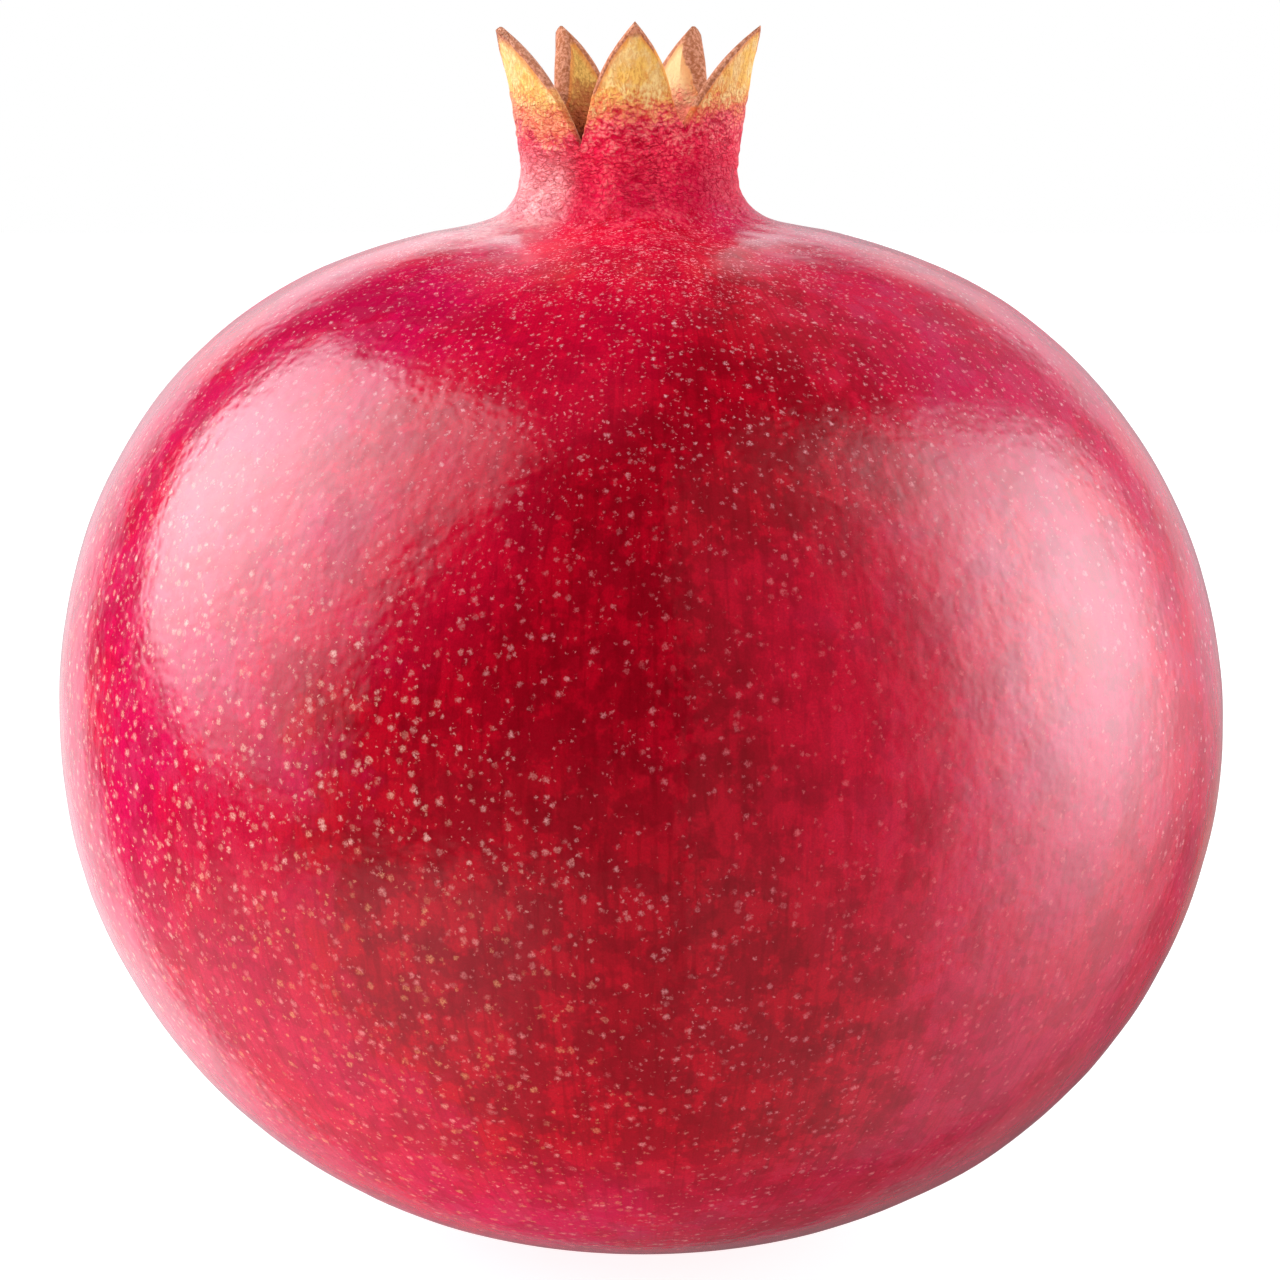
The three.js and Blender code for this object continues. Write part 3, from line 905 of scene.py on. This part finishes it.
def margined_crown(graph, crown, fine, wandering):
    """The crown with rust near its lobes' margins, and brown along them and at the tips."""
    rise = graph.attribute("rise")
    from_margin = graph.attribute("from_margin")
    margin = graph.mix(graph.ramp(fine, 0.38, 0.66), MARGIN_BROWN, MARGIN_PINK)
    browned = graph.fade(graph.total(from_margin, graph.product(wandering, 0.25)), 0.75, 1.15)
    near_tip = graph.ramp(graph.total(rise, graph.product(wandering, 0.04)), 0.88, 0.97)
    rusty = graph.product(graph.fade(from_margin, 1, 4), graph.ramp(rise, 0.02, 0.2), 0.6)
    return graph.mix(graph.highest(browned, near_tip), graph.mix(rusty, crown, CROWN_ORANGE), margin)


def painted_left_sheen(graph, height, azimuth, crinkle, patches):
    """Painted sheen on the neck's left side, where the left light shines, most of all on the pebbles' tops.
    """
    on_left = graph.product(graph.fade(azimuth, -50, -33), graph.ramp(azimuth, -150, -100))
    low_band = graph.product(graph.ramp(height, 81.5, 84.5), graph.fade(height, 87, 91.5))
    share = graph.product(on_left, low_band, graph.span(crinkle, 0.4, 0.8))
    return graph.product(share, graph.ramp(patches, 0.38, 0.56, 0.5, 0.9))


def neck_finish(graph, height, azimuth, spots, golden):
    """The roughness and the gloss of the shoulder and the crown."""
    scaly = graph.product(graph.near(azimuth, 0, 28, 46), graph.ramp(height, 77.5, 81))
    duller = duller_top(graph, height, azimuth)
    rough = graph.total(
        graph.ramp(height, 84, 87.5, SKIN_ROUGHNESS, NECK_ROUGHNESS),
        graph.product(golden, GOLD_ROUGHNESS),
        graph.product(spots, SPOT_ROUGHNESS),
        graph.product(scaly, SCALY_ROUGHNESS),
        graph.product(duller, DULL_ROUGHNESS - SKIN_ROUGHNESS),
    )
    neck_gloss = graph.near(azimuth, 50, 25, 70, 0.2, 0.65)
    dulled = graph.between(graph.ramp(height, 82.5, 85.5), 1, neck_gloss)
    gloss = graph.product(skin_gloss(graph, spots, duller), dulled)
    return rough, graph.product(gloss, graph.span(scaly, 1, 0.12))


def neck_material():
    """The shoulder and the crown, whose rind turns from smooth skin to crinkled red and to gold."""
    material, graph = new_material("pomegranate_crown")
    where = graph.position()
    height = graph.parts(where)[2]
    azimuth = bearing(graph, where)
    patches = graph.noise(where, PATCHES, 3, 0.65)
    wandering = graph.ramp(patches, 0.25, 0.75, -1, 1)
    fine = graph.noise(where, FINE, 2, 0.6)

    in_front = graph.near(azimuth, 0, 16, 44)
    low_in_front = graph.product(in_front, graph.total(graph.product(wandering, 1.2), 0.6))
    neck_height = graph.total(height, graph.product(wandering, 0.8), low_in_front)
    neck = graph.ramp(neck_height, 83.8, 86.6)
    off_neck = graph.fade(neck, 0, 1)
    skin, spots, skin_relief = rind_skin(graph, where, height, azimuth, off_neck)
    flecks = fleck_share(graph, where, height, patches, wandering, low_in_front)
    skin = graph.mix(flecks, skin, CROWN_FLECK)

    creases = level_creases(graph, where, height)
    crinkle = graph.product(pebbles(graph, where), graph.span(creases, 1, 0.15))
    grain_place = graph.vector("MULTIPLY", graph.shifts(where, 0.9, 0.2), (1, 1, 0.45))
    grain = graph.ramp(graph.noise(grain_place, FIBRES, 3, 0.7), 0.38, 0.60)
    boundary = graph.total(
        height,
        graph.product(wandering, 0.9),
        graph.ramp(fine, 0.3, 0.7, -0.5, 0.5),
        graph.span(crinkle, -0.3, 0.3),
        graph.near(azimuth, LEFT_NOTCH, 8, 24, 0.9),
    )
    orange_from = graph.total(boundary, graph.product(graph.fade(azimuth, -46, -34), 1.2))
    to_gold = graph.ramp(boundary, 92.9, 94.9)
    crown = crown_outside(graph, crinkle, grain, patches, fine, boundary, to_gold, orange_from)
    crown = shaded_crown(graph, crown, height, azimuth)
    crown = graph.mix(graph.attribute("inside"), crown, crown_inside(graph, grain, boundary, azimuth))
    crown = margined_crown(graph, crown, fine, wandering)
    # Painted sheen on the left of the neck, laid over skin and crown.
    pale = painted_left_sheen(graph, height, azimuth, crinkle, patches)
    colour = graph.mix(pale, graph.mix(neck, skin, crown), CROWN_SHEEN_PINK)

    crinkled = graph.product(graph.ramp(height, 83, 86.5), graph.fade(height, 93, 96))
    golden = graph.product(to_gold, neck)
    relief = graph.total(
        skin_relief,
        graph.product(crinkle, crinkled, 0.12),
        graph.product(grain, golden, 0.06),
        graph.product(fine, graph.ramp(height, 82, 86.5), 0.05),
    )
    rough, gloss = neck_finish(graph, height, azimuth, spots, golden)
    finish_surface(graph, colour, rough, relief, gloss)
    return material


# ---- Stamens ----

STAMEN_RINGS = [(1.5, 16), (2.3, 24), (3.0, 32), (3.7, 38), (4.4, 44)]
STAMEN_SEED = 11
STAMEN_ROOT = 85.45
FILAMENT_POINTS = 6
FILAMENT_RADIUS = 0.11
FILAMENT_LENGTHS = (1.9, 3.0)
FILAMENT_LEANS = (-0.8, 1.0)
FILAMENT_TWIST = 22
ANTHER_RADIUS = 0.27
ANTHER_LENGTH = 0.42  # from its middle to either end
ANTHER_SHAPE = [(-1.0, 0.25), (-0.75, 0.75), (-0.25, 1.0), (0.25, 0.95), (0.75, 0.7), (1.0, 0.2)]
STYLE_ROOT = 84.9
STYLE_RADII = [0.42, 0.36, 0.32, 0.3, 0.3, 0.42, 0.3]
DISH = [(0, 84.6), (3.4, 84.8), (4.9, 85.3), (5.2, 85.8), (4.7, 86.1), (3.0, 85.7), (0.001, 85.6)]
DISH_SIDES = 40
FILAMENT_DARK = (0.28, 0.12, 0.04)
FILAMENT_LIGHT = (0.52, 0.28, 0.10)
ANTHER_LIGHT = (0.62, 0.42, 0.14)
ANTHER_DARK = (0.22, 0.10, 0.04)


def ring_faces(rings, sides):
    """Quads between rings of points, each ring joined to the next."""
    faces = []
    for low in range(0, (rings - 1) * sides, sides):
        for k in range(sides):
            following = (k + 1) % sides
            faces.append([low + k, low + following, low + sides + following, low + sides + k])
    return faces


def tube_about(path, radii, sides):
    """Points and faces of a closed tube along a path, with a radius for each of its points."""
    path = [Vector(p) for p in path]
    points = []
    for i, middle in enumerate(path):
        ahead = (path[min(i + 1, len(path) - 1)] - path[max(i - 1, 0)]).normalized()
        side = ahead.cross(Vector((0.31, 0.17, 0.93))).normalized()
        other = ahead.cross(side)
        for k in range(sides):
            turn = 2 * math.pi * k / sides
            points.append(middle + radii[i] * (math.cos(turn) * side + math.sin(turn) * other))
    faces = ring_faces(len(path), sides)
    faces.append(list(range(sides))[::-1])
    faces.append(list(range(len(points) - sides, len(points))))
    return points, faces


def stamen_path(draw, ring_radius, azimuth):
    """A dried filament: it leans, bends over near its end and never rises past the rim."""
    length = draw.uniform(*FILAMENT_LENGTHS)
    lean = draw.uniform(*FILAMENT_LEANS)
    twist = math.radians(draw.uniform(-FILAMENT_TWIST, FILAMENT_TWIST))
    path = []
    for i in range(FILAMENT_POINTS):
        along = i / (FILAMENT_POINTS - 1)
        out = ring_radius + lean * along**1.5 + 0.12 * math.sin(5 * along + 7 * lean)
        turn = math.radians(azimuth) + twist * along
        x = out * math.sin(turn) + CROWN_DRIFT
        path.append((x, -out * math.cos(turn), STAMEN_ROOT + length * (along - 0.12 * along**4)))
    return path


def build_stamens():
    """The dried tuft: filaments with their anthers in rings, the style, and the dish they spring from."""
    draw = random.Random(STAMEN_SEED)
    points, faces, ends = [], [], []

    def join(shape, end):
        start = len(points)
        points.extend(shape[0])
        ends.extend([end] * len(shape[0]))
        faces.extend([[start + v for v in face] for face in shape[1]])

    thins = [FILAMENT_RADIUS * (1.3 - 0.08 * k) for k in range(FILAMENT_POINTS)]
    for ring_radius, count in STAMEN_RINGS:
        for i in range(count):
            azimuth = 360 * (i + draw.uniform(-0.35, 0.35)) / count
            path = stamen_path(draw, ring_radius, azimuth)
            join(tube_about(path, thins, 5), 0.0)
            top = Vector(path[-1])
            lie = Vector((draw.uniform(-1, 1), draw.uniform(-1, 1), draw.uniform(-0.2, 0.7))).normalized()
            size = ANTHER_RADIUS * draw.uniform(0.75, 1.1)
            spine = [top + lie * ANTHER_LENGTH * along for along, _ in ANTHER_SHAPE]
            join(tube_about(spine, [size * width for _, width in ANTHER_SHAPE], 6), 1.0)
    rising = range(len(STYLE_RADII))
    style = [(CROWN_DRIFT + 0.05 * i, 0.04 * i, STYLE_ROOT + 0.62 * i) for i in rising]
    join(tube_about(style, STYLE_RADII, 8), 0.3)
    join(dish_shape(), 0.0)
    piece = new_mesh("stamen_cluster", np.array([tuple(p) for p in points]) * MM, faces)
    store(piece.data, "anther", np.array(ends))
    return piece


def dish_shape():
    """The low dish that the stamens spring from."""
    points = []
    for radius, height in DISH:
        for k in range(DISH_SIDES):
            turn = 2 * math.pi * k / DISH_SIDES
            out = radius * (1 + 0.02 * math.sin(5 * turn) + 0.015 * math.sin(11 * turn))
            points.append(Vector((CROWN_DRIFT + out * math.cos(turn), out * math.sin(turn), height)))
    return points, ring_faces(len(DISH), DISH_SIDES)


def stamen_material():
    """Dry brown filaments, streaked lengthwise, with mottled yellow-brown anthers."""
    material, graph = new_material("dried_stamens")
    where = graph.position()
    streaks = graph.noise(graph.vector("MULTIPLY", where, (1, 1, 0.3)), 0.4, 3, 0.6)
    filament = graph.mix(graph.ramp(streaks, 0.35, 0.65), FILAMENT_DARK, FILAMENT_LIGHT)
    anther = graph.mix(graph.noise(where, 0.25, 2), ANTHER_LIGHT, ANTHER_DARK)
    colour = graph.mix(graph.attribute("anther"), filament, anther)
    relief = graph.product(graph.noise(where, 0.12, 2), 0.03)
    finish_surface(graph, colour, 0.8, relief)
    return material


# ---- Stalk ----

STALK_PROFILE = [
    (0.0, 0.5), (0.6, 0.5), (1.2, 0.52), (1.7, 0.5), (1.92, 0.62), (2.0, 0.85),
    (2.02, 1.1), (2.0, 1.35), (1.8, 1.7), (1.2, 2.1), (0.6, 2.38), (0.0, 2.5),
]
STALK_SIDES = 64
WOOD_DARK = (0.16, 0.09, 0.045)
WOOD_LIGHT = (0.34, 0.22, 0.11)
WOOD_STAIN = (0.09, 0.05, 0.03)


def build_stalk():
    """The cut stub of the stalk, with a slightly fluted side."""
    points = []
    for radius, height in STALK_PROFILE:
        for k in range(STALK_SIDES):
            turn = 2 * math.pi * k / STALK_SIDES
            fluted = radius * (1 + 0.02 * math.sin(9 * turn) + 0.012 * math.sin(23 * turn + 1))
            points.append((fluted * math.sin(turn), fluted * math.cos(turn), height))
    points = np.array(points)
    outward = [[b, a, d, c] for a, b, c, d in ring_faces(len(STALK_PROFILE), STALK_SIDES)]
    first, faces = weld(points, outward)
    return new_mesh("cut_stalk", points[first] * MM, faces)


def stalk_material():
    """Weathered wood with growth rings and dark stains."""
    material, graph = new_material("cut_stalk_wood")
    where = graph.position()
    level = graph.vector("MULTIPLY", graph.shifts(where, 1, 0.15), (1, 1, 0))
    rings = graph.math("SINE", graph.math("MULTIPLY", graph.vector("LENGTH", level), 16))
    colour = graph.mix(graph.ramp(rings, -1, 1), WOOD_DARK, WOOD_LIGHT)
    colour = graph.mix(graph.ramp(graph.noise(where, 0.5, 3), 0.5, 0.7), colour, WOOD_STAIN)
    relief = graph.product(graph.noise(where, 0.3, 3), 0.08)
    finish_surface(graph, colour, 0.85, relief)
    return material


# ---- Light, table and camera ----


def glow(graph, direction, azimuth, elevation, power, strength):
    """Light that is strongest from one direction, and falls off round it by that power of a cosine."""
    cosine = graph.highest(graph.vector("DOT_PRODUCT", direction, heading(azimuth, elevation)), 0)
    return graph.product(graph.math("POWER", cosine, power), strength)


def side_of(graph, direction, corner, next_corner, softness):
    """1 on the inner side of the great circle through two corners, 0 on the other."""
    normal = Vector(heading(*corner)).cross(Vector(heading(*next_corner))).normalized()
    across = graph.vector("DOT_PRODUCT", direction, tuple(normal))
    return graph.ramp(across, -softness, softness)


def panel(graph, direction, corners, softness):
    """1 inside a panel of light with corners against the clock from inside and a softness for each side."""
    sides = [
        side_of(graph, direction, corner, corners[(i + 1) % len(corners)], softness[i])
        for i, corner in enumerate(corners)
    ]
    return graph.product(*sides)


# The two large soft lights: their corners, how soft each side is, and the glows that make them up,
# each with its azimuth, elevation, power of the cosine and strength.
LEFT_PANEL = [(-118, 4), (-62, -16), (-41, 61), (-139, 48)]
LEFT_SOFTNESS = (0.08, 0.05, 0.05, 0.09)
LEFT_GLOWS = [(-106, 29, 5.8, 8.2)]
RIGHT_PANEL = [(8, -60), (148, -60), (138, 12), (8, 56)]
RIGHT_SOFTNESS = (0.25, 0.08, 0.12, 0.04)
RIGHT_GLOWS = [(101, 28, 11.0, 4.8), (95, 2, 9.0, 5.2), (97, -32, 5.0, 0.5)]
RIGHT_EVEN = 0.12
GAP_GLOW = (136, 33, 14.0, 0.4)
ROOM = 0.015  # the weak light from everywhere else
LIGHT_LEVEL = 0.82
LIGHT_TINT = (0.93, 0.985, 1.03)


def panel_light(graph, direction, glows, even, corners, softness):
    """A panel of light made up of glows and an even light."""
    light = graph.total(*[glow(graph, direction, *values) for values in glows], even)
    return graph.product(light, panel(graph, direction, corners, softness))


def low_light(graph, x, z):
    """Light from below the table's edge, stronger from the left."""
    low = graph.fade(z, -0.52, -0.24)
    return graph.product(low, graph.ramp(x, -0.80, -0.1, 0.75, 0.12))


def back_light(graph, x, y, z):
    """The bright backdrop behind the fruit, which lights its rim: weaker low down and on the right."""
    aside = graph.product(graph.math("ABSOLUTE", x), 0.35)
    level = graph.fade(graph.math("SUBTRACT", graph.math("ABSOLUTE", z), aside), 0.47, 0.57)
    raised = graph.ramp(z, 0.18, 0.36, 1, 1.5)
    towards_left = graph.product(graph.highest(graph.math("MULTIPLY", x, -1), 0), 0.9)
    lowered = graph.ramp(graph.total(z, towards_left), -0.34, 0.04, 0.15, 1)
    straight = graph.ramp(y, 0.95, 0.985, 1, 0.65)
    backward = graph.math("SUBTRACT", y, graph.product(z, 0.15))
    light = graph.product(graph.ramp(backward, 0.64, 0.84, 0, 1.3), level, raised, lowered, straight)
    return graph.product(light, graph.ramp(x, -0.2, 0.2, 1, 0.66))


def build_world():
    """A white backdrop, as seen directly, whose light comes from two soft panels, below and behind."""
    world = bpy.data.worlds.new("studio")
    bpy.context.scene.world = world
    world.use_nodes = True
    graph = Graph(world.node_tree)
    direction = graph.add("TexCoord").outputs["Generated"]
    x, y, z = graph.parts(direction)
    light = graph.total(
        panel_light(graph, direction, LEFT_GLOWS, 0, LEFT_PANEL, LEFT_SOFTNESS),
        panel_light(graph, direction, RIGHT_GLOWS, RIGHT_EVEN, RIGHT_PANEL, RIGHT_SOFTNESS),
        low_light(graph, x, z),
        back_light(graph, x, y, z),
        glow(graph, direction, *GAP_GLOW),
        ROOM,
    )
    seen = graph.seen_directly()
    strength = graph.between(seen, graph.product(light, LIGHT_LEVEL), 1)
    tint = graph.mix(seen, LIGHT_TINT, (1, 1, 1))
    background = graph.add("Background", {"Color": tint, "Strength": strength})
    graph.add("OutputWorld", {"Surface": background.outputs[0]})


TABLE_SIZE = 3.0  # in metres
TABLE_GREY = (0.35, 0.35, 0.35)
TABLE_SEEN = 0.9
BRIGHT_FOOT = (-42.0, -36.0, 0.0)


def build_table():
    """A pale table, white as seen directly, that throws light up at the fruit, most by its left foot."""
    half = TABLE_SIZE / 2
    mesh = bpy.data.meshes.new("table_top")
    corners = [(-half, -half, 0), (half, -half, 0), (half, half, 0), (-half, half, 0)]
    mesh.from_pydata(corners, [], [(0, 1, 2, 3)])
    table = bpy.data.objects.new("table_top", mesh)
    bpy.context.scene.collection.objects.link(table)
    table.visible_glossy = False
    material, graph = new_material("pale_table")
    where = graph.position()
    from_foot = graph.vector("LENGTH", graph.vector("SUBTRACT", where, BRIGHT_FOOT))
    near_foot = graph.ramp(from_foot, 5, 65, 0.9, 0)
    bounced = graph.total(graph.ramp(graph.parts(where)[0], -90, 20, 0.80, 0.44), near_foot)
    inputs = {
        "Base Color": rgba(TABLE_GREY),
        "Roughness": 0.9,
        "Specular IOR Level": 0.0,
        "Emission Color": rgba((1.0, 1.0, 1.0)),
        "Emission Strength": graph.between(graph.seen_directly(), bounced, TABLE_SEEN),
    }
    surface = graph.add("BsdfPrincipled", inputs)
    graph.add("OutputMaterial", {"Surface": surface.outputs[0]})
    mesh.materials.append(material)


def stand(thing, aim, azimuth, elevation, distance):
    """Puts a lamp or the camera that far from its aim, in that direction, and turns it to the aim."""
    thing.location = aim + distance * MM * Vector(heading(azimuth, elevation))
    thing.rotation_euler = (aim - thing.location).to_track_quat("-Z", "Y").to_euler()
    bpy.context.scene.collection.objects.link(thing)


LAMP_DISTANCE = 400


def add_lamp(name, kind, energy, aim, azimuth, elevation):
    """A lamp whose own reflection is not seen in the skin."""
    data = bpy.data.lights.new(name, kind)
    data.energy = energy
    lamp = bpy.data.objects.new(name, data)
    lamp.visible_glossy = False
    stand(lamp, Vector(aim) * MM, azimuth, elevation, LAMP_DISTANCE)
    return data


# The crown's lamps, each with its azimuth, elevation and power.
CROWN_LIGHTS = [(-14, 18, 2.8), (-40, 42, 1.3), (-66, 26, 1.9), (135, 25, 0.6), (-135, 25, 0.8)]
CROWN_AIM = (CROWN_DRIFT, 0.0, 95.5)
CROWN_LIGHT_ANGLE = 4.8
CROWN_LIGHT_RADIUS = 14


def build_crown_lights():
    """Small lamps that light the crown alone, from the front and from both sides of the back."""
    for azimuth, elevation, power in CROWN_LIGHTS:
        data = add_lamp("crown_light", "SPOT", power, CROWN_AIM, azimuth, elevation)
        data.spot_size = math.radians(CROWN_LIGHT_ANGLE)
        data.spot_blend = 0.8
        data.shadow_soft_size = CROWN_LIGHT_RADIUS * MM


TOP_LIGHT = (-30, 74)
TOP_AIM = (0.0, 0.0, 60.0)
TOP_POWER = 0.15
TOP_SIZE = 160


def build_top_light():
    """One wide soft lamp above."""
    data = add_lamp("top_light", "AREA", TOP_POWER, TOP_AIM, *TOP_LIGHT)
    data.size = TOP_SIZE * MM


CAMERA_LENS = 170.4
CAMERA_AIM = (-0.25, 0.0, 49.4)
CAMERA_ELEVATION = 7
CAMERA_DISTANCE = 500


def build_camera():
    """The camera, in front of the fruit and a little above, with a long lens."""
    camera = bpy.data.objects.new("camera", bpy.data.cameras.new("camera"))
    camera.data.lens = CAMERA_LENS
    camera.data.sensor_width = 36
    camera.data.clip_start = 0.01
    stand(camera, Vector(CAMERA_AIM) * MM, 0, CAMERA_ELEVATION, CAMERA_DISTANCE)
    bpy.context.scene.camera = camera


# ---- The scene ----


def dress(piece, node, slot, *materials):
    """Gives a piece its materials, and puts it in the place of a node of the frame."""
    for material in materials:
        piece.data.materials.append(material)
    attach(piece, "root")
    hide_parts(node)


dress(build_rind(), "rind_and_calyx", "rind", body_material(), neck_material())
dress(build_stamens(), "stamens", "stamens", stamen_material())
dress(build_stalk(), "stalk_stub", "stalk", stalk_material())

build_world()
build_table()
build_crown_lights()
build_top_light()
build_camera()
bpy.context.scene.view_settings.view_transform = "Standard"
